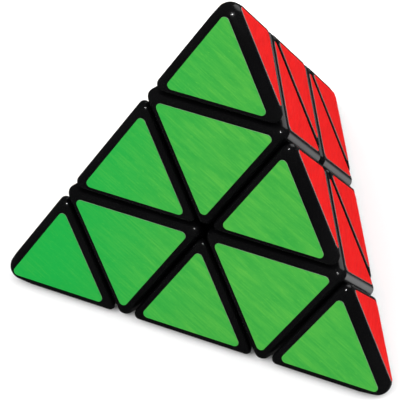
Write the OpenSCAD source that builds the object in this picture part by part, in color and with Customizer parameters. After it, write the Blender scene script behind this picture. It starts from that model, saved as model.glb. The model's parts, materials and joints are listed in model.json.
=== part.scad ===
// Pyramid twisty puzzle: a four-sided pyramid of four tips, four axials and six edges around a
// four-armed core. Millimetres. +Z points up through the top vertex, the green face looks along -Y,
// and z = 0 is the surface that the puzzle stands on.

/* [Body] */
// Length of one side of the pyramid, over its rounded corners
side_len = 98; // [80:1:120]
// Radius of the ball that rounds off each vertex
vertex_r = 3.3; // [2.8:0.1:4]
// Radius along the outer edges of the pyramid
outer_r = 2.2; // [1.6:0.1:2.8]
// Radius where a tip or an edge meets its neighbours
groove_r = 1.4; // [0.8:0.1:1.6]
// Radius on every edge of an axial
axial_r = 2.0; // [1.2:0.1:2.4]
// Gap between two neighbouring pieces
gap = 0.4; // [0.3:0.05:0.6]
// Thickness of the moulded walls
wall = 2; // [1.8:0.1:2.4]
// Flat steps that stand for each rounded edge
round_steps = 3; // [1:1:5]

/* [Stickers] */
// Thickness of a sticker
sticker_t = 0.15; // [0.1:0.05:0.3]
// Corner radius of a sticker
sticker_r = 1.1; // [0.5:0.1:2]
// Margin from a sticker to an outer edge of the pyramid, before rounding
outer_margin = 3.2; // [2.8:0.1:4.5]
// Margin from a sticker to the middle of a groove, on tips and edges
groove_margin = 2.5; // [2.2:0.1:3]
// Margin from a sticker to the middle of a groove, on axials
axial_margin = 1.7; // [1.6:0.1:3]

/* [Mechanism] */
// Inner radius of the feet that run under the axials
foot_in_r = 12.2; // [11.5:0.1:12.6]
// Radius of the ball that the feet fill
foot_out_r = 17; // [16:0.1:17.5]
// How far a foot reaches past its own piece, under the neighbouring axials
foot_reach = 3.5; // [2:0.1:4]
// Radius of the middle of the core
core_r = 6.5; // [5:0.1:8]
// Radius of an arm of the core
arm_r = 3.4; // [2.8:0.1:3.6]
// Length of an arm of the core, from the centre
arm_len = 12.4; // [11.8:0.1:12.8]
// Inner radius of the well in an axial
well_r = 5.2; // [4.8:0.1:5.6]
// Thickness of the floor of the well
floor_t = 3; // [2:0.1:4]
// Radial clearance of a turning fit
turning_fit = 0.08; // [0.02:0.01:0.1]

/* [Fasteners] */
// Radius of the screw shank
screw_r = 1.5; // [1.2:0.1:1.6]
// Radius of the screw head
head_r = 2.8; // [2.4:0.1:3.4]
// Height of the fitted spring
spring_len = 7; // [5:0.5:9]
// Turns in the spring
spring_turns = 5.5; // [4:0.5:7]
// Radius of the spring wire
wire_r = 0.35; // [0.25:0.05:0.45]

/* [Hidden] */
// Directions of the vertices from the centre: top, left, right and back
VERTEX = ["top", "left", "right", "back"];
polar = [0, acos(-1 / 3), acos(-1 / 3), acos(-1 / 3)];
turn = [30, 210, 330, 90];
function direction(v) = [sin(polar[v]) * cos(turn[v]), sin(polar[v]) * sin(turn[v]), cos(polar[v])];

// The plain pyramid, before its corners are rounded, and the planes that cut it
full_len = side_len + 2 * (sqrt(6) - 1) * vertex_r;
pyramid_h = full_len * sqrt(2 / 3);
triangle_h = full_len * sqrt(3) / 2;
face_d = pyramid_h / 4;
cut_d = pyramid_h / 12;
tip_d = 5 * pyramid_h / 12;
foot_d = cut_d - foot_reach;
half_gap = gap / 2;
centre_z = face_d + sticker_t;

// Unit vectors in a vertex's own frame, where +Z runs out to that vertex
own = [0, 0, 1];
others = [for (t = [60, 180, 300]) [sin(polar[1]) * cos(t), sin(polar[1]) * sin(t), -1 / 3]];
// Unit vectors in an edge's own frame: the first two point at its own vertices
tilt = acos(sqrt(1 / 3));
pair = [[sin(tilt), 0, cos(tilt)], [-sin(tilt), 0, cos(tilt)]];
far = [[0, sin(tilt), -cos(tilt)], [0, -sin(tilt), -cos(tilt)]];

// Heights along an axis of the mechanism
seat_z = arm_len + 0.1;
floor_z = seat_z + floor_t;
washer_t = 0.6;
head_h = 2;
head_z = floor_z + spring_len + washer_t;
screw_end_z = 4;
stem_len = 6;
plate_t = 2;
tube_r = well_r + 1.6;
stem_r = well_r - turning_fit;
pilot_r = screw_r + 0.02;
bead_h = 0.35;
peg_r = 1.8;
peg_y = 5;
peg_z = foot_out_r + wall + 2;
lift = 0.002;
block = 3 * full_len;

// Edges as pairs of vertices; each face carries the colour of the vertex that it faces away from
EDGES = [[0, 1], [0, 2], [0, 3], [1, 2], [2, 3], [3, 1]];
COLOUR = ["blue", "red", "yellow", "green"];
PAINT = ["#1440b8", "#e8181c", "#ffd21a", "#2ca83c"];
function edge_name(e) = str(VERTEX[e[0]], "_", VERTEX[e[1]]);

function unit(v) = v / norm(v);
function total(list, i = 0) = i == len(list) - 1 ? list[i] : list[i] + total(list, i + 1);
function clamp(x) = max(-1, min(1, x));

// A plane is [outward normal, distance from the origin]. These give the flats that round off the
// edge between two planes, and the flat that rounds off the corner where several planes meet.
function edge_flats(p, q, r) = [
    for (k = [1:round_steps])
        let (
            whole = acos(clamp(p[0] * q[0])),
            part = whole * k / (round_steps + 1),
            wp = sin(whole - part) / sin(whole),
            wq = sin(part) / sin(whole)
        )
        [wp * p[0] + wq * q[0], wp * (p[1] - r) + wq * (q[1] - r) + r]
];
function corner_flat(planes, r) =
    let (
        n = total([for (p = planes) p[0]]),
        d = total([for (p = planes) p[1] - r])
    )
    [unit(n), d / norm(n) + r];

// Everything on the inner side of a plane
module inside(plane) {
    n = plane[0];
    rotate([0, acos(clamp(n[2])), atan2(n[1], n[0])])
        translate([-block / 2, -block / 2, plane[1] - block])
            cube(block);
}

module solid_of(planes) {
    intersection_for (p = planes) inside(p);
}

// Moves a part from a vertex's own frame, an edge's own frame or a face's own frame to its place
module at_vertex(v) {
    translate([0, 0, centre_z]) rotate([0, polar[v], turn[v]]) children();
}

module in_axes(x, y, z) {
    translate([0, 0, centre_z])
        multmatrix([[x[0], y[0], z[0], 0], [x[1], y[1], z[1], 0], [x[2], y[2], z[2], 0]])
            children();
}

module at_edge(e) {
    x = unit(direction(e[0]) - direction(e[1]));
    z = unit(direction(e[0]) + direction(e[1]));
    in_axes(x, cross(z, x), z) children();
}

// On the face away from vertex f, with +X towards vertex v and +Z outwards
module on_face(f, v) {
    z = -direction(f);
    x = unit(direction(v) + direction(f) / 3);
    in_axes(x, cross(z, x), z) translate([0, 0, face_d + lift]) children();
}

// ---- Tips ----

module tip_form() {
    outer = [for (o = others) [-o, face_d]];
    under = [-own, -(tip_d + half_gap)];
    solid_of([
        each outer,
        under,
        for (i = [0:2]) each edge_flats(outer[i], outer[(i + 1) % 3], outer_r),
        for (i = [0:2]) each edge_flats(outer[i], under, groove_r),
        corner_flat(outer, vertex_r),
        for (i = [0:2]) corner_flat([outer[i], outer[(i + 1) % 3], under], (outer_r + groove_r) / 2)
    ]);
}

module tip_shell(v) {
    color("#101012") at_vertex(v) difference() {
        tip_form();
        solid_of([for (o = others) [-o, face_d - wall]]);
    }
}

// The plate that closes a tip, with the slotted stem that snaps into the axial's well
module tip_base(v) {
    bottom = tip_d + half_gap;
    bead_z = bottom - stem_len + 2;
    color("#101012") at_vertex(v) difference() {
        union() {
            solid_of([
                for (o = others) [-o, face_d - wall - 0.02],
                [own, bottom + plate_t],
                [-own, -bottom]
            ]);
            translate([0, 0, bottom - stem_len]) cylinder(r = stem_r, h = stem_len + 0.5, $fn = 64);
            translate([0, 0, bead_z]) cylinder(r1 = stem_r - 0.1, r2 = stem_r + bead_h, h = 0.6, $fn = 64);
            translate([0, 0, bead_z + 0.6]) cylinder(r1 = stem_r + bead_h, r2 = stem_r - 0.1, h = 0.6, $fn = 64);
        }
        translate([0, 0, bottom - stem_len - 1]) cylinder(r = stem_r - 1.2, h = stem_len + 1.5, $fn = 64);
        for (t = [0, 90])
            rotate([0, 0, t]) translate([-well_r - 1, -0.5, bottom - stem_len - 1])
                cube([2 * well_r + 2, 1, stem_len]);
    }
}

// ---- Axials ----

module axial_form() {
    top = [own, tip_d - half_gap];
    under = [-own, -(cut_d + half_gap)];
    outer = [for (o = others) [-o, face_d]];
    inner = [for (o = others) [o, cut_d - half_gap]];
    solid_of([
        top,
        under,
        each outer,
        each inner,
        for (i = [0:2]) each edge_flats(top, outer[i], axial_r),
        for (i = [0:2]) each edge_flats(under, inner[i], axial_r),
        for (i = [0:2], j = [0:2]) if (i != j) each edge_flats(outer[i], inner[j], axial_r),
        for (i = [0:2]) corner_flat([top, inner[i], outer[(i + 1) % 3], outer[(i + 2) % 3]], axial_r),
        for (i = [0:2]) corner_flat([under, outer[i], inner[(i + 1) % 3], inner[(i + 2) % 3]], axial_r)
    ]);
}

module axial_shell(v) {
    color("#101012") at_vertex(v) difference() {
        axial_form();
        solid_of([
            [own, tip_d - half_gap - wall],
            [-own, -(foot_out_r + 1.5)],
            for (o = others) [-o, face_d - wall],
            for (o = others) [o, cut_d - half_gap - wall]
        ]);
        rotate([0, 0, 60]) sphere(r = foot_out_r, $fn = 96);
        cylinder(r = tube_r + 0.02, h = tip_d + 10, $fn = 64);
    }
}

// The tube that the tip, spring and screw sit in, with the foot that bears on the core
module axial_hub(v) {
    bead_z = tip_d + half_gap - stem_len + 2;
    color("#101012") at_vertex(v) difference() {
        union() {
            intersection() {
                sphere(r = foot_out_r - 0.01, $fn = 96);
                solid_of([
                    [-own, -(foot_d + half_gap)],
                    for (o = others) [o, foot_d - half_gap]
                ]);
            }
            translate([0, 0, floor_z]) cylinder(r = tube_r, h = tip_d - half_gap - floor_z, $fn = 64);
        }
        sphere(r = foot_in_r, $fn = 96);
        cylinder(r = arm_r + 0.4, h = seat_z, $fn = 48);
        cylinder(r = screw_r + 0.1, h = floor_z + 1, $fn = 48);
        translate([0, 0, floor_z]) cylinder(r = well_r, h = tip_d, $fn = 64);
        translate([0, 0, bead_z - 0.2])
            cylinder(r1 = well_r - 0.01, r2 = well_r + bead_h + 0.05, h = 0.8, $fn = 64);
        translate([0, 0, bead_z + 0.6])
            cylinder(r1 = well_r + bead_h + 0.05, r2 = well_r - 0.01, h = 0.8, $fn = 64);
    }
}

// ---- Edges ----

module edge_form() {
    outer = [for (f = far) [-f, face_d]];
    inner = [for (p = pair) [-p, -(cut_d + half_gap)]];
    end_r = (outer_r + groove_r) / 2;
    solid_of([
        each outer,
        each inner,
        each edge_flats(outer[0], outer[1], outer_r),
        each edge_flats(inner[0], inner[1], groove_r),
        for (i = [0, 1], j = [0, 1]) each edge_flats(outer[i], inner[j], groove_r),
        for (i = [0, 1]) corner_flat([outer[0], outer[1], inner[i]], end_r),
        for (i = [0, 1]) corner_flat([inner[0], inner[1], outer[i]], groove_r)
    ]);
}

module pegs(r) {
    for (y = [-peg_y, peg_y]) translate([0, y, foot_in_r + 2]) cylinder(r = r, h = peg_z - foot_in_r - 2, $fn = 32);
}

module edge_shell(e) {
    color("#101012") at_edge(e) difference() {
        edge_form();
        solid_of([
            [-own, -(foot_out_r + wall)],
            for (f = far) [-f, face_d - wall],
            for (p = pair) [-p, -(cut_d + half_gap + wall)]
        ]);
        sphere(r = foot_out_r, $fn = 96);
        pegs(peg_r + 0.02);
    }
}

// The foot of an edge: it fills the ball under its shell and reaches under the neighbouring axials
module edge_foot(e) {
    color("#101012") at_edge(e) difference() {
        union() {
            intersection() {
                sphere(r = foot_out_r - 0.3, $fn = 96);
                solid_of([
                    for (p = pair) [-p, -(foot_d + half_gap)],
                    for (f = far) [f, foot_d - half_gap]
                ]);
            }
            intersection() {
                sphere(r = foot_out_r - 0.01, $fn = 96);
                solid_of([
                    for (p = pair) [-p, -(cut_d + half_gap)],
                    for (f = far) [f, foot_d - half_gap]
                ]);
            }
            pegs(peg_r);
        }
        sphere(r = foot_in_r, $fn = 96);
    }
}

// ---- Core, screws, washers and springs ----

module core() {
    color("#d8d8d2") difference() {
        union() {
            translate([0, 0, centre_z]) sphere(r = core_r, $fn = 64);
            for (v = [0:3]) at_vertex(v) cylinder(r = arm_r, h = arm_len, $fn = 48);
        }
        for (v = [0:3]) at_vertex(v) translate([0, 0, screw_end_z - 1]) cylinder(r = pilot_r, h = arm_len, $fn = 32);
    }
}

module screw(v) {
    pitch = 1;
    root_r = screw_r - 0.35;
    thread_top = arm_len - 0.4;
    turns = floor((thread_top - screw_end_z - 1) / pitch);
    color("#b8babd") at_vertex(v) difference() {
        rotate_extrude($fn = 48) polygon([
            [0, screw_end_z],
            [root_r * 0.4, screw_end_z],
            for (k = [0:turns - 1])
                each [
                    [root_r, thread_top - (turns - k) * pitch],
                    [screw_r, thread_top - (turns - k - 0.5) * pitch]
                ],
            [root_r, thread_top],
            [screw_r, thread_top + 0.3],
            [screw_r, head_z],
            [head_r, head_z],
            [head_r, head_z + 0.45 * head_h],
            for (t = [15:15:75]) [head_r * cos(t), head_z + head_h * (0.45 + 0.55 * sin(t))],
            [0, head_z + head_h]
        ]);
        for (t = [0, 90])
            rotate([0, 0, t]) translate([-head_r * 0.55, -0.4, head_z + head_h - 1.1]) cube([head_r * 1.1, 0.8, 2]);
    }
}

module washer(v) {
    color("#c8cacc") at_vertex(v) translate([0, 0, head_z - washer_t + 0.01]) difference() {
        cylinder(r = head_r + 1.2, h = washer_t - 0.02, $fn = 48);
        translate([0, 0, -1]) cylinder(r = screw_r + 0.05, h = 3, $fn = 48);
    }
}

// A closed tube of sides-sided rings, one ring at each point of the coil
module spring(v) {
    sides = 8;
    per_turn = 12;
    coil_r = 3.1;
    rings = spring_turns * per_turn;
    low = floor_z + 0.05 + wire_r;
    rise = spring_len - 0.1 - 2 * wire_r;
    points = [
        for (i = [0:rings], k = [0:sides - 1])
            let (
                a = 360 * i / per_turn,
                w = 360 * k / sides,
                r = coil_r + wire_r * cos(w)
            )
            [r * cos(a), r * sin(a), low + rise * i / rings + wire_r * sin(w)]
    ];
    walls = [
        for (i = [0:rings - 1], k = [0:sides - 1])
            let (
                n = (k + 1) % sides,
                a = i * sides,
                b = a + sides
            )
            [a + k, b + k, b + n, a + n]
    ];
    color("#a8aaad") at_vertex(v) polyhedron(
        points,
        [
            [for (k = [0:sides - 1]) k],
            each walls,
            [for (k = [sides - 1:-1:0]) rings * sides + k]
        ]
    );
}

// ---- Stickers ----

// An equilateral triangle with rounded corners, by the radius of the circle inside it
module rounded_triangle(inradius, points_at) {
    polygon([
        for (corner = [0, 120, 240], t = [-60:12:60])
            let (a = points_at + corner)
            2 * (inradius - sticker_r) * [cos(a), sin(a)] + sticker_r * [cos(a + t), sin(a + t)]
    ]);
}

module sticker(f, v, middle, inradius, points_at) {
    color(PAINT[f]) on_face(f, v) translate([middle, 0, 0]) linear_extrude(sticker_t - lift)
        rounded_triangle(inradius, points_at);
}

module tip_sticker(f, v) {
    inradius = triangle_h / 9 - (groove_margin + 2 * outer_margin) / 3;
    sticker(f, v, triangle_h / 3 + groove_margin + inradius, inradius, 0);
}

module axial_sticker(f, v) {
    sticker(f, v, 2 * triangle_h / 9, triangle_h / 9 - axial_margin, 180);
}

// The sticker of the edge that lies across the face from vertex v
module edge_sticker(f, v) {
    inradius = triangle_h / 9 - (outer_margin + 2 * groove_margin) / 3;
    sticker(f, v, outer_margin - triangle_h / 3 + inradius, inradius, 0);
}

// The stickers of the lower two thirds on one face, and of the top layer on one face
module lower_stickers(f) {
    for (v = [1:3]) if (v != f) axial_sticker(f, v);
    if (f == 0) for (v = [1:3]) edge_sticker(0, v);
    else edge_sticker(f, 0);
}

module upper_stickers(f) {
    axial_sticker(f, 0);
    for (v = [1:3]) if (v != f) edge_sticker(f, v);
}

// ---- One node at a time, or the whole puzzle ----

core();
for (v = [0:3]) {
    screw(v);
    washer(v);
    spring(v);
    axial_shell(v);
    axial_hub(v);
    tip_shell(v);
    tip_base(v);
}
for (e = EDGES) {
    edge_shell(e);
    edge_foot(e);
}
for (f = [0:3]) lower_stickers(f);
for (f = [1:3]) upper_stickers(f);
for (v = [0:3], f = [0:3]) if (f != v)
    tip_sticker(f, v);
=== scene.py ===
import json
import math

import bmesh
import bpy
from mathutils import Matrix, Vector


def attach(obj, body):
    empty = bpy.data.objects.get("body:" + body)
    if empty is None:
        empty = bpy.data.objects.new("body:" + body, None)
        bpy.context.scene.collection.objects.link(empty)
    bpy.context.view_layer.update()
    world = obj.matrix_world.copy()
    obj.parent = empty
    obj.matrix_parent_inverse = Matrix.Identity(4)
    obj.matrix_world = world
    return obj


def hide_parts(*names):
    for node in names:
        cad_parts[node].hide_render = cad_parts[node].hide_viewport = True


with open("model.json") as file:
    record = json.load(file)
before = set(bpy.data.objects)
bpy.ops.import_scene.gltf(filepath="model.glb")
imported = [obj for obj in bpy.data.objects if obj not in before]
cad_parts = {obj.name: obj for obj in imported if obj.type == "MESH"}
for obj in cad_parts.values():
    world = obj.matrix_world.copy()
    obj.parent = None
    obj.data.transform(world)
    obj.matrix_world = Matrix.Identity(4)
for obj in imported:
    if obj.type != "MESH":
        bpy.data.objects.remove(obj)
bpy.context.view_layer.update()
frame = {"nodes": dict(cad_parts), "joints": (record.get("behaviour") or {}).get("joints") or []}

# ---- Core ----
# A ball with four arms in the middle of the puzzle, moulded in plain off-white plastic. Its arms
# point at the four vertices, and every other piece is laid out from those four directions.

VERTICES = ["top", "left", "right", "back"]
joint = {j["name"]: j for j in frame["joints"]}
centre = Vector(joint["top_layer_turn"]["pos_m"])
arm = {v: Vector(joint["tip_%s_turn" % v]["axis"]).normalized() for v in VERTICES}


class Nodes:
    """A material's node tree, written one node to a line."""

    def __init__(self, name):
        self.material = bpy.data.materials.new(name)
        self.material.use_nodes = True
        self.tree = self.material.node_tree
        self.tree.nodes.clear()
        self.out = self.add("ShaderNodeOutputMaterial")
        self.shader = self.add("ShaderNodeBsdfPrincipled")
        self.join(self.shader.outputs[0], self.out.inputs["Surface"])

    def add(self, kind, settings=None, **sockets):
        n = self.tree.nodes.new(kind)
        for key, value in (settings or {}).items():
            setattr(n, key, value)
        for key, value in sockets.items():
            self.plug(n, key.replace("_", " "), value)
        return n

    def plug(self, n, key, value):
        socket = n.inputs[key]
        if isinstance(value, bpy.types.NodeSocket):
            self.join(value, socket)
        else:
            socket.default_value = value

    def join(self, a, b):
        self.tree.links.new(a, b)

    def place(self, scale=(1, 1, 1), uv=None):
        """Object coordinates, or a UV map's, stretched by scale."""
        if uv:
            source = self.add("ShaderNodeUVMap", {"uv_map": uv}).outputs[0]
        else:
            source = self.add("ShaderNodeTexCoord").outputs["Object"]
        return self.add("ShaderNodeMapping", Vector=source, Scale=scale).outputs[0]

    def noise(self, where, scale, detail=3.0, roughness=0.55):
        n = self.add("ShaderNodeTexNoise", Vector=where, Scale=scale, Detail=detail, Roughness=roughness)
        return n.outputs["Fac"]

    def spread(self, value, low, high, to_low=0.0, to_high=1.0):
        n = self.add("ShaderNodeMapRange", Value=value)
        for key, number in zip(("From Min", "From Max", "To Min", "To Max"), (low, high, to_low, to_high)):
            n.inputs[key].default_value = number
        return n.outputs[0]

    def blend(self, share, a, b, mode="MIX"):
        n = self.add("ShaderNodeMix", {"data_type": "RGBA", "blend_type": mode})
        for socket, value in ((n.inputs[0], share), (n.inputs[6], a), (n.inputs[7], b)):
            if isinstance(value, bpy.types.NodeSocket):
                self.join(value, socket)
            else:
                socket.default_value = value
        return n.outputs[2]

    def relief(self, height, depth, under=None):
        n = self.add("ShaderNodeBump", Height=height, Distance=depth, Strength=1.0)
        if under is not None:
            self.join(under, n.inputs["Normal"])
        return n.outputs[0]

    def finish(self, **sockets):
        for key, value in sockets.items():
            self.plug(self.shader, key.replace("_", " "), value)
        return self.material


def moulded_plastic(name, dark, light, rough_low, rough_high):
    """Glossy injection-moulded plastic: a faint orange peel, handling marks and fine scratches."""
    n = Nodes(name)
    place = n.place()
    cloud = n.noise(place, 55.0, 4.0)
    peel = n.noise(place, 900.0, 2.0)
    grain = n.noise(n.place((1.0, 1.0, 14.0)), 420.0, 5.0, 0.7)
    scratch = n.spread(grain, 0.62, 0.78)
    colour = n.blend(n.spread(cloud, 0.35, 0.7), (*dark, 1), (*light, 1))
    worn = n.spread(cloud, 0.3, 0.72, rough_low, rough_high)
    rough = n.add("ShaderNodeMath", {"operation": "MULTIPLY_ADD"})
    n.join(scratch, rough.inputs[0])
    rough.inputs[1].default_value = 0.12
    n.join(worn, rough.inputs[2])
    skin = n.relief(peel, 0.000005)
    return n.finish(
        Base_Color=colour,
        Roughness=rough.outputs[0],
        Normal=n.relief(scratch, -0.000003, skin),
        IOR=1.53,
    )


def dress(node, material):
    """Gives a CAD node its finish."""
    slots = frame["nodes"][node].data.materials
    slots.clear()
    slots.append(material)


core_plastic = moulded_plastic("off-white core plastic", (0.6, 0.6, 0.55), (0.7, 0.69, 0.64), 0.35, 0.5)
dress("core", core_plastic)

# ---- Screws and washers ----
# A zinc-plated self-tapping screw in the end of each arm, with a stamped washer under its head.
# The screw's own turning marks run round its axis.


def turned_steel(name, tint, rough, pitch):
    """Bright steel with fine marks from the lathe or the stamping die."""
    n = Nodes(name)
    place = n.place()
    marks = n.noise(place, pitch, 6.0, 0.7)
    stain = n.noise(place, 160.0, 3.0)
    colour = n.blend(n.spread(stain, 0.35, 0.7), (*tint, 1), (*[0.82 * c for c in tint], 1))
    return n.finish(
        Base_Color=colour,
        Metallic=1.0,
        Roughness=n.spread(marks, 0.3, 0.7, rough, rough + 0.15),
        Normal=n.relief(marks, 0.000006),
    )


screw_steel = turned_steel("zinc-plated screw steel", (0.56, 0.57, 0.6), 0.22, 2200.0)
washer_steel = turned_steel("stamped washer steel", (0.62, 0.63, 0.64), 0.26, 1600.0)
for v in VERTICES:
    dress("screw_" + v, screw_steel)
    dress("washer_" + v, washer_steel)

# ---- Springs ----
# A coil of drawn steel wire round each screw, between the washer and the floor of the axial's well.
# One coil is drawn along its rule and set on all four arms.

MM = 0.001
WIRE_R = 0.35 * MM
COIL_R = 3.1 * MM
COIL_TURNS = 5.5
WELL_FLOOR = 15.5 * MM
SPRING_SPACE = 7 * MM
SPRING_PLAY = 0.05 * MM
COIL_FOOT = WELL_FLOOR + SPRING_PLAY + WIRE_R
COIL_RISE = SPRING_SPACE - 2 * (SPRING_PLAY + WIRE_R)
COIL_STEPS = 32
WIRE_SIDES = 12


class Rule:
    """A Geometry Nodes tree with named inputs, written one node to a line."""

    def __init__(self, name, inputs):
        self.tree = bpy.data.node_groups.new(name, "GeometryNodeTree")
        face = self.tree.interface
        face.new_socket("Geometry", in_out="INPUT", socket_type="NodeSocketGeometry")
        for key, kind in inputs.items():
            face.new_socket(key, in_out="INPUT", socket_type="NodeSocket" + kind)
        face.new_socket("Geometry", in_out="OUTPUT", socket_type="NodeSocketGeometry")
        self.given = self.tree.nodes.new("NodeGroupInput").outputs
        self.out = self.tree.nodes.new("NodeGroupOutput")

    def add(self, kind, settings=None, **sockets):
        n = self.tree.nodes.new(kind)
        for key, value in (settings or {}).items():
            setattr(n, key, value)
        for key, value in sockets.items():
            socket = n.inputs[key.replace("_", " ")]
            if isinstance(value, bpy.types.NodeSocket):
                self.tree.links.new(value, socket)
            else:
                socket.default_value = value
        return n

    def end(self, geometry, material):
        whole = self.add("GeometryNodeRealizeInstances", Geometry=geometry).outputs[0]
        painted = self.add("GeometryNodeSetMaterial", Geometry=whole, Material=material).outputs[0]
        self.tree.links.new(painted, self.out.inputs[0])

    def run(self, mesh, name, **values):
        """The plain mesh that the tree makes from mesh."""
        o = bpy.data.objects.new(name, mesh)
        bpy.context.scene.collection.objects.link(o)
        m = o.modifiers.new("rule", "NODES")
        m.node_group = self.tree
        for item in self.tree.interface.items_tree:
            key = item.name.replace(" ", "_")
            if item.in_out == "INPUT" and key in values:
                m[item.identifier] = values[key]
        return baked(o, name)


def baked(o, name):
    """The object's mesh with its modifiers worked in; the object itself is removed."""
    bpy.context.view_layer.update()
    graph = bpy.context.evaluated_depsgraph_get()
    mesh = bpy.data.meshes.new_from_object(o.evaluated_get(graph))
    mesh.name = name
    bpy.data.objects.remove(o)
    return mesh


def piece(mesh, name, body, slot, *nodes):
    """Shows a finished mesh as a piece of the puzzle, in place of its CAD nodes."""
    o = bpy.data.objects.new(name, mesh)
    bpy.context.scene.collection.objects.link(o)
    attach(o, body)
    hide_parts(*nodes)
    return o


wire = Nodes("drawn spring wire")
draw_marks = wire.noise(wire.place(), 1400.0, 6.0, 0.7)
spring_wire = wire.finish(
    Base_Color=wire.blend(wire.spread(draw_marks, 0.3, 0.7), (0.4, 0.41, 0.44, 1), (0.5, 0.5, 0.52, 1)),
    Metallic=1.0,
    Roughness=wire.spread(draw_marks, 0.3, 0.7, 0.25, 0.4),
    Normal=wire.relief(draw_marks, 0.000004),
)
coil = Rule(
    "coil spring",
    {
        "Coil radius": "Float",
        "Wire radius": "Float",
        "Rise": "Float",
        "Turns": "Float",
        "Middle": "Vector",
        "Finish": "Material",
    },
)
line = coil.add(
    "GeometryNodeCurveSpiral",
    Resolution=COIL_STEPS,
    Rotations=coil.given["Turns"],
    Start_Radius=coil.given["Coil radius"],
    End_Radius=coil.given["Coil radius"],
    Height=coil.given["Rise"],
)
section = coil.add(
    "GeometryNodeCurvePrimitiveCircle", Resolution=WIRE_SIDES, Radius=coil.given["Wire radius"]
)
tube = coil.add(
    "GeometryNodeCurveToMesh", Curve=line.outputs[0], Profile_Curve=section.outputs[0], Fill_Caps=True
)
smooth = coil.add("GeometryNodeSetShadeSmooth", Geometry=tube.outputs[0])
outward = coil.add("ShaderNodeVectorMath", {"operation": "SUBTRACT"})
coil.tree.links.new(coil.add("GeometryNodeInputPosition").outputs[0], outward.inputs[0])
coil.tree.links.new(coil.given["Middle"], outward.inputs[1])
aim = coil.add("FunctionNodeAlignEulerToVector", {"axis": "Z"}, Vector=outward.outputs[0])
four = coil.add(
    "GeometryNodeInstanceOnPoints",
    Points=coil.given["Geometry"],
    Instance=smooth.outputs[0],
    Rotation=aim.outputs[0],
)
coil.end(four.outputs[0], coil.given["Finish"])
seats = bpy.data.meshes.new("spring seats")
seats.from_pydata([centre + arm[v] * COIL_FOOT for v in VERTICES], [], [])
springs = coil.run(
    seats,
    "tension_springs",
    Coil_radius=COIL_R,
    Wire_radius=WIRE_R,
    Rise=COIL_RISE,
    Turns=COIL_TURNS,
    Middle=centre,
    Finish=spring_wire,
)
piece(springs, "tension_springs", "lower_layers", "spring_steel", *["spring_" + v for v in VERTICES])

# ---- Tips ----
# Four small corner pieces: a hollow black plastic moulding with rounded edges and a rounded vertex,
# closed underneath by a plate whose slotted stem snaps into the axial below. The plate is the CAD's.

STICKER_T = 0.15 * MM
FACE_D = centre.z - STICKER_T
CUT_D = FACE_D / 3
TIP_D = 5 * FACE_D / 3
HALF_GAP = 0.2 * MM
WALL = 2 * MM
OUTER_R = 2.2 * MM
GROOVE_R = 1.4 * MM
VERTEX_R = 3.45 * MM
VERTEX_INSET = 3.1 * MM
OUTER_STEPS = 7
CROWN_STEPS = 18
TIP_ROOF = 5 * MM
BALL_FINENESS = 4
SHARP_ANGLE = math.radians(32)
FLATS_WEIGHT = 80
POLAR = math.acos(-1 / 3)
TURN = {"top": 30, "left": 210, "right": 330, "back": 90}
own = Vector((0, 0, 1))
others = [
    Matrix.Rotation(math.radians(t), 3, "Z") @ Vector((math.sin(POLAR), 0, -1 / 3)) for t in (60, 180, 300)
]

black_plastic = moulded_plastic(
    "glossy black plastic", (0.001, 0.001, 0.0012), (0.0024, 0.0024, 0.0027), 0.14, 0.22
)


def body_of(planes, name="form"):
    """The solid on the inner side of every plane, each an outward normal and a distance."""
    bm = bmesh.new()
    bmesh.ops.create_cube(bm, size=0.5)
    for normal, distance in planes:
        bmesh.ops.bisect_plane(
            bm,
            geom=bm.verts[:] + bm.edges[:] + bm.faces[:],
            dist=1e-8,
            plane_co=normal * distance,
            plane_no=normal,
            clear_outer=True,
        )
        bmesh.ops.holes_fill(bm, edges=[e for e in bm.edges if e.is_boundary], sides=0)
    bmesh.ops.remove_doubles(bm, verts=bm.verts, dist=1e-7)
    bmesh.ops.recalc_face_normals(bm, faces=bm.faces)
    mesh = bpy.data.meshes.new(name)
    bm.to_mesh(mesh)
    bm.free()
    return mesh


def round_between(p, q, radius, steps):
    """Planes that touch the round on the edge between two planes."""
    whole = p[0].angle(q[0])
    found = []
    for k in range(1, steps + 1):
        part = whole * k / (steps + 1)
        a = math.sin(whole - part) / math.sin(whole)
        b = math.sin(part) / math.sin(whole)
        found.append((a * p[0] + b * q[0], a * (p[1] - radius) + b * (q[1] - radius) + radius))
    return found


def inset(planes, by):
    return [(n, d - by) for n, d in planes]


# Every moulding is its plain form, drawn in by its edge radius, with a ball of that radius rolled
# all over it: the skin round the balls that sit on the drawn-in form's corners.
rolled = Rule("rolled edges", {"Edge radius": "Float", "Fineness": "Int", "Finish": "Material"})
ball = rolled.add(
    "GeometryNodeMeshIcoSphere",
    Radius=rolled.given["Edge radius"],
    Subdivisions=rolled.given["Fineness"],
)
balls = rolled.add(
    "GeometryNodeInstanceOnPoints", Points=rolled.given["Geometry"], Instance=ball.outputs[0]
)
loose = rolled.add("GeometryNodeRealizeInstances", Geometry=balls.outputs[0])
skin = rolled.add("GeometryNodeConvexHull", Geometry=loose.outputs[0])
soft_skin = rolled.add("GeometryNodeSetShadeSmooth", Geometry=skin.outputs[0])
rolled.end(soft_skin.outputs[0], rolled.given["Finish"])


def ball_tool(radius):
    bm = bmesh.new()
    bmesh.ops.create_icosphere(bm, subdivisions=5, radius=radius)
    mesh = bpy.data.meshes.new("ball")
    bm.to_mesh(mesh)
    bm.free()
    return mesh


def drill_tool(radius, low, high, y=0.0):
    bm = bmesh.new()
    place = Matrix.Translation((0, y, (low + high) / 2))
    bmesh.ops.create_cone(
        bm, cap_ends=True, segments=64, radius1=radius, radius2=radius, depth=high - low, matrix=place
    )
    mesh = bpy.data.meshes.new("drill")
    bm.to_mesh(mesh)
    bm.free()
    return mesh


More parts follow.
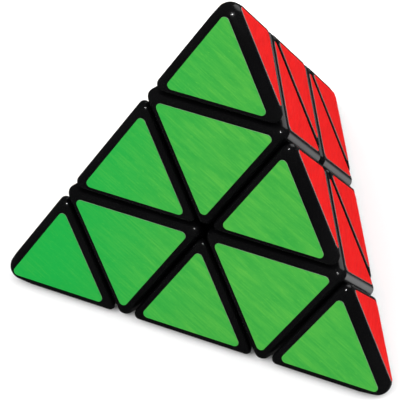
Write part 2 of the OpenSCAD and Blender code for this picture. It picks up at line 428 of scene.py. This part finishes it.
def moulding(name, form, radius, tools):
    """A rounded form with the tools cut out of it, shaded flat on its flats and smooth on its rounds."""
    mesh = rolled.run(form, name, Edge_radius=radius, Fineness=BALL_FINENESS, Finish=black_plastic)
    o = bpy.data.objects.new(name, mesh)
    bpy.context.scene.collection.objects.link(o)
    cutters = []
    for tool in tools:
        tool.materials.append(black_plastic)
        cutter = bpy.data.objects.new("cutter", tool)
        bpy.context.scene.collection.objects.link(cutter)
        cutters.append(cutter)
        cut = o.modifiers.new("cut", "BOOLEAN")
        cut.operation = "DIFFERENCE"
        cut.solver = "EXACT"
        cut.object = cutter
    mesh = baked(o, name)
    for cutter in cutters:
        bpy.data.objects.remove(cutter)
    mesh.shade_smooth()
    mesh.set_sharp_from_angle(angle=SHARP_ANGLE)
    o = bpy.data.objects.new(name, mesh)
    bpy.context.scene.collection.objects.link(o)
    level = o.modifiers.new("flats", "WEIGHTED_NORMAL")
    level.keep_sharp = True
    level.weight = FLATS_WEIGHT
    return baked(o, name)


def at_vertex(v):
    """Takes a piece drawn with its vertex on +Z to its place in the puzzle."""
    tilt = Matrix.Rotation(0 if v == "top" else POLAR, 4, "Y")
    return Matrix.Translation(centre) @ Matrix.Rotation(math.radians(TURN[v]), 4, "Z") @ tilt


def placed(mesh, matrix, name):
    copy = mesh.copy()
    copy.name = name
    copy.transform(matrix)
    return copy


outer = [(-o, FACE_D) for o in others]
edges_between = [
    p for i in range(3) for p in round_between(outer[i], outer[(i + 1) % 3], OUTER_R, OUTER_STEPS)
]
# Flats that touch the vertex ball, their normals spread between those of the three faces.
crown = []
for i in range(1, CROWN_STEPS):
    for j in range(1, CROWN_STEPS - i):
        normal = sum((w * p[0] for w, p in zip((i, j, CROWN_STEPS - i - j), outer)), Vector()).normalized()
        crown.append((normal, 3 * (FACE_D - VERTEX_INSET) * normal.dot(own) + VERTEX_R))
tip_form = body_of(inset([*outer, *edges_between, *crown, (-own, -(TIP_D + HALF_GAP))], GROOVE_R))
tip_hollow = body_of([*inset(outer, WALL), (-own, -TIP_D + TIP_ROOF)])
tip_moulding = moulding("tip moulding", tip_form, GROOVE_R, [tip_hollow])
for v in VERTICES:
    name = "tip_%s_moulding" % v
    piece(placed(tip_moulding, at_vertex(v), name), name, "tip_" + v, "black_plastic", "tip_shell_" + v)
    dress("tip_base_" + v, black_plastic)

# ---- Axials ----
# Four pieces under the tips, each with a rounded point showing on three edges of the pyramid. The
# hollow shell sits on a hub, which carries the well for the screw and the foot that bears on the core.

AXIAL_R = 2.0 * MM
FOOT_BALL_R = 17 * MM
WELL_R = 5.2 * MM
WELL_WALL = 1.6 * MM
WELL_FIT = 0.02 * MM
TUBE_R = WELL_R + WELL_WALL + WELL_FIT
TUBE_FROM = 10 * MM
TUBE_TO = 45 * MM
AXIAL_FLOOR = 1.5 * MM

axial_planes = [
    (own, TIP_D - HALF_GAP),
    (-own, -(CUT_D + HALF_GAP)),
    *outer,
    *[(o, CUT_D - HALF_GAP) for o in others],
]
axial_form = body_of(inset(axial_planes, AXIAL_R))
axial_hollow = body_of([
    (own, TIP_D - HALF_GAP - WALL),
    (-own, -(FOOT_BALL_R + AXIAL_FLOOR)),
    *inset(outer, WALL),
    *[(o, CUT_D - HALF_GAP - WALL) for o in others],
])
axial_tools = [ball_tool(FOOT_BALL_R), axial_hollow, drill_tool(TUBE_R, TUBE_FROM, TUBE_TO)]
axial_moulding = moulding("axial moulding", axial_form, AXIAL_R, axial_tools)
for v in VERTICES:
    name = "axial_%s_moulding" % v
    body = "top_layer" if v == "top" else "lower_layers"
    piece(placed(axial_moulding, at_vertex(v), name), name, body, "black_plastic", "axial_shell_" + v)
    dress("axial_hub_" + v, black_plastic)

# ---- Edges ----
# Six pieces, one in the middle of each side of the pyramid. The hollow shell is pegged to a foot
# that reaches under the two axials beside it and holds the edge in.

EDGES = [
    ("top", "left"),
    ("top", "right"),
    ("top", "back"),
    ("left", "right"),
    ("right", "back"),
    ("back", "left"),
]
TILT = math.acos(math.sqrt(1 / 3))
PEG_R = 1.82 * MM
PEG_Y = 5 * MM
PEG_FROM = 14 * MM
PEG_TO = 21 * MM

beside = [Vector((s * math.sin(TILT), 0, math.cos(TILT))) for s in (1, -1)]
beyond = [Vector((0, s * math.sin(TILT), -math.cos(TILT))) for s in (1, -1)]
edge_outer = [(-n, FACE_D) for n in beyond]
edge_inner = [(-n, -(CUT_D + HALF_GAP)) for n in beside]
edge_round = round_between(*edge_outer, OUTER_R, OUTER_STEPS)
edge_form = body_of(inset([*edge_outer, *edge_round, *edge_inner], GROOVE_R))
edge_hollow = body_of([
    (-own, -(FOOT_BALL_R + WALL)),
    *inset(edge_outer, WALL),
    *[(n, d - WALL) for n, d in edge_inner],
])
edge_tools = [
    ball_tool(FOOT_BALL_R),
    edge_hollow,
    drill_tool(PEG_R, PEG_FROM, PEG_TO, PEG_Y),
    drill_tool(PEG_R, PEG_FROM, PEG_TO, -PEG_Y),
]
edge_moulding = moulding("edge moulding", edge_form, GROOVE_R, edge_tools)


def from_axes(x, z):
    """Takes a piece drawn with +Z outwards and +X along x to its place in the puzzle."""
    rows = Matrix((x, z.cross(x), z)).transposed().to_4x4()
    return Matrix.Translation(centre) @ rows


for a, b in EDGES:
    name = "edge_%s_%s_moulding" % (a, b)
    body = "top_layer" if a == "top" else "lower_layers"
    place = from_axes((arm[a] - arm[b]).normalized(), (arm[a] + arm[b]).normalized())
    piece(placed(edge_moulding, place, name), name, body, "black_plastic", "edge_shell_%s_%s" % (a, b))
    dress("edge_foot_%s_%s" % (a, b), black_plastic)

# ---- Stickers ----
# Thirty-six die-cut triangles of coloured metal foil on a pale backing film, with rounded corners. The
# film's pale edge is partly painted highlight.
# The foil of a whole face is brushed in one direction, square to one side of the pyramid.

SIDE = FACE_D * 4 / math.sqrt(2 / 3)
TALL = SIDE * math.sqrt(3) / 2
OUTER_MARGIN = 3.2 * MM
GROOVE_MARGIN = 2.5 * MM
AXIAL_MARGIN = 1.7 * MM
CORNER_R = 1.1 * MM
LIFT = 0.002 * MM
FACES = {"blue": "top", "red": "left", "yellow": "right", "green": "back"}
BRUSHED_FROM = {"blue": "left", "red": "back", "yellow": "top", "green": "right"}
CORNER_STEPS = 10
# Along X, where a painted sheen starts to turn the foil bluer towards the left vertex, and where it ends.
TEAL_FROM = 4 * MM
TEAL_TO = -36 * MM
TEAL_OVER_FROM = -10 * MM
TEAL_OVER_TO = -40 * MM


def foil(name, deep, plain, painted_highlight, painted_sheen_tint=None):
    """Brushed metal foil under coloured lacquer. The UV map runs along and across the brushing."""
    n = Nodes(name)
    bands = n.noise(n.place((0.1, 0.5, 1.0), "brushing"), 1.0, 3.0, 0.6)
    long_marks = n.noise(n.place((0.1, 2.4, 1.0), "brushing"), 1.0, 5.0, 0.62)
    hairs = n.noise(n.place((0.2, 6.5, 1.0), "brushing"), 1.0, 3.0, 0.6)
    painted_glint_flecks = n.noise(n.place((0.9, 4.5, 1.0), "brushing"), 1.0, 2.0, 0.5)
    # The darker streaks, in the deep colour, are the foil's own brushed tone. The lighter streaks and the
    # flecks, in the bright colour, are painted highlight: brush highlights put into the colour.
    colour = n.blend(n.spread(bands, 0.35, 0.5, 0.6, 0.0), (*plain, 1), (*deep, 1))
    colour = n.blend(n.spread(bands, 0.5, 0.66, 0.0, 0.3), colour, (*painted_highlight, 1))
    # Painted sheen: the colour turns a bluer green towards the left vertex, standing for the hue shift of
    # the foil's sheen there.
    if painted_sheen_tint:
        across = n.add("ShaderNodeSeparateXYZ", Vector=n.add("ShaderNodeTexCoord").outputs["Object"])
        under = n.spread(across.outputs[0], TEAL_FROM, TEAL_TO, 0.0, 0.9)
        colour = n.blend(under, colour, (*painted_sheen_tint, 1))
    colour = n.blend(n.spread(long_marks, 0.34, 0.5, 0.5, 0.0), colour, (*deep, 1))
    colour = n.blend(n.spread(long_marks, 0.52, 0.72, 0.0, 0.45), colour, (*painted_highlight, 1))
    # Painted highlight: short pale flecks where the brushing would catch the light.
    colour = n.blend(n.spread(painted_glint_flecks, 0.6, 0.74, 0.0, 0.6), colour, (*painted_highlight, 1))
    # More of the painted sheen's bluer green, nearer the left vertex.
    if painted_sheen_tint:
        over = n.spread(across.outputs[0], TEAL_OVER_FROM, TEAL_OVER_TO, 0.0, 0.55)
        colour = n.blend(over, colour, (*painted_sheen_tint, 1))
    along = n.add("ShaderNodeTangent", {"direction_type": "UV_MAP", "uv_map": "brushing"})
    brushed = n.relief(long_marks, 0.00001)
    return n.finish(
        Base_Color=colour,
        Metallic=0.1,
        IOR=1.3,
        Roughness=n.spread(hairs, 0.3, 0.7, 0.34, 0.48),
        Anisotropic=0.6,
        Tangent=along.outputs[0],
        Normal=n.relief(hairs, 0.000006, brushed),
    )


foils = {
    # The green foil's last colour is the bluer green of its painted sheen.
    "green": foil(
        "green foil", (0.02, 0.3, 0.035), (0.04, 0.34, 0.04), (0.11, 0.44, 0.05), (0.0, 0.34, 0.045)
    ),
    "red": foil("red foil", (0.6, 0.0, 0.001), (0.71, 0.001, 0.001), (0.8, 0.008, 0.005)),
    "yellow": foil("yellow foil", (0.66, 0.4, 0.005), (0.78, 0.5, 0.01), (0.9, 0.66, 0.06)),
    "blue": foil("blue foil", (0.004, 0.035, 0.28), (0.006, 0.06, 0.4), (0.03, 0.15, 0.58)),
}
# The pale film is partly real film and partly painted highlight: its pale edge round each sticker also
# stands for the light rim along the sticker edges.
film = Nodes("pale film with painted rim highlight")
film_cloud = film.noise(film.place(), 800.0, 2.0)
backing_film_and_painted_rim = film.finish(
    Base_Color=film.blend(film.spread(film_cloud, 0.3, 0.7), (0.22, 0.23, 0.22, 1), (0.3, 0.31, 0.3, 1)),
    Roughness=film.spread(film_cloud, 0.3, 0.7, 0.4, 0.55),
)


def outline(inradius, points_at, inwards):
    """A triangle with round corners, drawn in by inwards."""
    points = []
    for corner in (0, 120, 240):
        a = math.radians(points_at + corner)
        at = 2 * (inradius - CORNER_R) * Vector((math.cos(a), math.sin(a)))
        for k in range(CORNER_STEPS + 1):
            t = a + math.radians(-60 + 120 * k / CORNER_STEPS)
            points.append(at + (CORNER_R - inwards) * Vector((math.cos(t), math.sin(t))))
    return points


def cut_sticker(bm, colour, v, middle, inradius, points_at):
    """One sticker on the face of that colour, middle being how far it sits towards vertex v."""
    z = -arm[FACES[colour]]
    x = (arm[v] - z / 3).normalized()
    place = from_axes(x, z)
    grain = (arm[BRUSHED_FROM[colour]] - z / 3).normalized()
    across = z.cross(grain)
    uv = bm.loops.layers.uv["brushing"]
    rings = []
    for high, inwards in ((0, 0.0), (0.8, 0.0), (0.95, 0.02 * MM), (1, 0.06 * MM)):
        lift = FACE_D + LIFT + high * (STICKER_T - LIFT)
        points = outline(inradius, points_at, inwards)
        rings.append([bm.verts.new(place @ Vector((middle + p.x, p.y, lift))) for p in points])
    count = len(rings[0])
    faces = [(bm.faces.new(rings[0][::-1]), 1), (bm.faces.new(rings[-1]), 0)]
    for level, (low, high) in enumerate(zip(rings, rings[1:])):
        for k in range(count):
            n = (k + 1) % count
            faces.append((bm.faces.new((low[k], low[n], high[n], high[k])), 1 if level == 0 else 0))
    for face, slot in faces:
        face.material_index = slot
        face.smooth = slot == 0 and len(face.verts) == 4
        for loop in face.loops:
            at = loop.vert.co - centre
            loop[uv].uv = (at.dot(grain) / MM, at.dot(across) / MM)


def tip_sticker(bm, colour, v):
    inradius = TALL / 9 - (GROOVE_MARGIN + 2 * OUTER_MARGIN) / 3
    cut_sticker(bm, colour, v, TALL / 3 + GROOVE_MARGIN + inradius, inradius, 0)


def axial_sticker(bm, colour, v):
    cut_sticker(bm, colour, v, 2 * TALL / 9, TALL / 9 - AXIAL_MARGIN, 180)


def edge_sticker(bm, colour, v):
    """The sticker in the middle of the side across the face from vertex v."""
    inradius = TALL / 9 - (OUTER_MARGIN + 2 * GROOVE_MARGIN) / 3
    cut_sticker(bm, colour, v, OUTER_MARGIN - TALL / 3 + inradius, inradius, 0)


def sticker_piece(name, colour, body, node, cuts):
    bm = bmesh.new()
    bm.loops.layers.uv.new("brushing")
    for cut, v in cuts:
        cut(bm, colour, v)
    mesh = bpy.data.meshes.new(name)
    bm.to_mesh(mesh)
    bm.free()
    mesh.materials.append(foils[colour])
    mesh.materials.append(backing_film_and_painted_rim)
    piece(mesh, name, body, "sticker_" + colour, node)


for colour, away in FACES.items():
    on_face = [v for v in VERTICES if v != away]
    for v in on_face:
        node = "sticker_%s_tip_%s" % (colour, v)
        sticker_piece("foil_%s_tip_%s" % (colour, v), colour, "tip_" + v, node, [(tip_sticker, v)])
    lower = [(axial_sticker, v) for v in on_face if v != "top"]
    lower += [(edge_sticker, v) for v in on_face if away == "top" or v == "top"]
    sticker_piece("foil_%s_lower" % colour, colour, "lower_layers", "stickers_%s_lower" % colour, lower)
    if away != "top":
        upper = [(axial_sticker, "top")] + [(edge_sticker, v) for v in on_face if v != "top"]
        sticker_piece("foil_%s_upper" % colour, colour, "top_layer", "stickers_%s_upper" % colour, upper)

# ---- Studio ----
# A plain pale table top under a large soft key light and a soft side light. The gloss mirrors only a
# back wall, a ceiling lamp that makes glints and lights nothing else, and one pale patch.

floor_mesh = bpy.data.meshes.new("table_top")
HALF = 3.0
DROP = 0.1 * MM
corners = [(-HALF, -HALF, -DROP), (HALF, -HALF, -DROP), (HALF, HALF, -DROP), (-HALF, HALF, -DROP)]
floor_mesh.from_pydata(corners, [], [(0, 1, 2, 3)])
table = Nodes("pale table top")
table_cloud = table.noise(table.place(), 30.0, 3.0)
floor_mesh.materials.append(
    table.finish(
        Base_Color=table.blend(
            table.spread(table_cloud, 0.3, 0.7), (0.86, 0.86, 0.86, 1), (0.875, 0.875, 0.875, 1)
        ),
        Roughness=table.spread(table_cloud, 0.3, 0.7, 0.7, 0.8),
    )
)
floor = bpy.data.objects.new("table_top", floor_mesh)
bpy.context.scene.collection.objects.link(floor)

world = bpy.data.worlds.new("studio")
bpy.context.scene.world = world
world.use_nodes = True
room = world.node_tree
backdrop = room.nodes["Background"]
backdrop.inputs[0].default_value = (1, 1, 1, 1)
# The walls that the gloss would mirror are kept dark; they still light everything softly.
ROOM_LIGHT = 0.95
MIRRORED_ROOM = 0.04
ray = room.nodes.new("ShaderNodeLightPath")
dimmed = room.nodes.new("ShaderNodeMapRange")
dimmed.inputs["To Min"].default_value = ROOM_LIGHT
room.links.new(ray.outputs["Is Glossy Ray"], dimmed.inputs["Value"])
# A pale patch low behind the puzzle, mirrored only by the gloss, greys the rims of the grooves on
# the red side.
PATCH = Vector((0.26, 0.58, -0.77)).normalized()
PATCH_LIGHT = 0.62
PATCH_EDGE = math.radians(14)
PATCH_CORE = math.radians(6)
looking = room.nodes.new("ShaderNodeTexCoord")
nearness = room.nodes.new("ShaderNodeVectorMath")
nearness.operation = "DOT_PRODUCT"
nearness.inputs[1].default_value = PATCH
patch = room.nodes.new("ShaderNodeMapRange")
patch.inputs["From Min"].default_value = math.cos(PATCH_EDGE)
patch.inputs["From Max"].default_value = math.cos(PATCH_CORE)
patch.inputs["To Min"].default_value = MIRRORED_ROOM
patch.inputs["To Max"].default_value = PATCH_LIGHT
room.links.new(looking.outputs["Generated"], nearness.inputs[0])
room.links.new(nearness.outputs["Value"], patch.inputs["Value"])
room.links.new(patch.outputs[0], dimmed.inputs["To Max"])
room.links.new(dimmed.outputs[0], backdrop.inputs["Strength"])
floor.visible_glossy = False


def soft_light(name, towards, distance, size, watts, mirrored=False, lights=True):
    lamp = bpy.data.lights.new(name, "AREA")
    lamp.shape = "DISK"
    lamp.size = size
    lamp.energy = watts
    o = bpy.data.objects.new(name, lamp)
    bpy.context.scene.collection.objects.link(o)
    aim = Vector(towards).normalized()
    o.location = centre + aim * distance
    o.rotation_euler = (-aim).to_track_quat("-Z", "Y").to_euler()
    o.visible_camera = False
    o.visible_glossy = mirrored
    o.visible_diffuse = lights


soft_light("soft key", (-0.5, -0.5, 0.7), 1.3, 1.4, 12.9)
soft_light("soft side", (0.8, 0.35, 0.58), 1.2, 1.1, 10.0)
soft_light("back wall", (0.3, 0.9, 0.42), 1.3, 1.1, 3.4, mirrored=True)
soft_light("ceiling lamp", (0.42, -0.27, 0.86), 1.2, 0.05, 6.0, mirrored=True, lights=False)

# The camera looks down on the green face from the front right, with a long lens. Its spot is given
# in lengths of the sharp side.
FORWARD = Vector((-0.30877, 0.5976, -0.73996))
RIGHT = Vector((0.90942, 0.41336, -0.04565))
SPOT = Vector((1.3814, -2.8635, 3.6732))
SENSOR = 36
LENS_IN_FRAME_HEIGHTS = 5.2232
lens = bpy.data.cameras.new("camera")
lens.sensor_width = SENSOR
lens.lens = LENS_IN_FRAME_HEIGHTS * SENSOR
lens.clip_start = 0.01
camera = bpy.data.objects.new("camera", lens)
bpy.context.scene.collection.objects.link(camera)
up = RIGHT.cross(FORWARD).normalized()
camera.matrix_world = Matrix.Translation(SPOT * SIDE) @ Matrix((RIGHT, up, -FORWARD)).transposed().to_4x4()
bpy.context.scene.camera = camera
bpy.context.scene.view_settings.view_transform = "Standard"
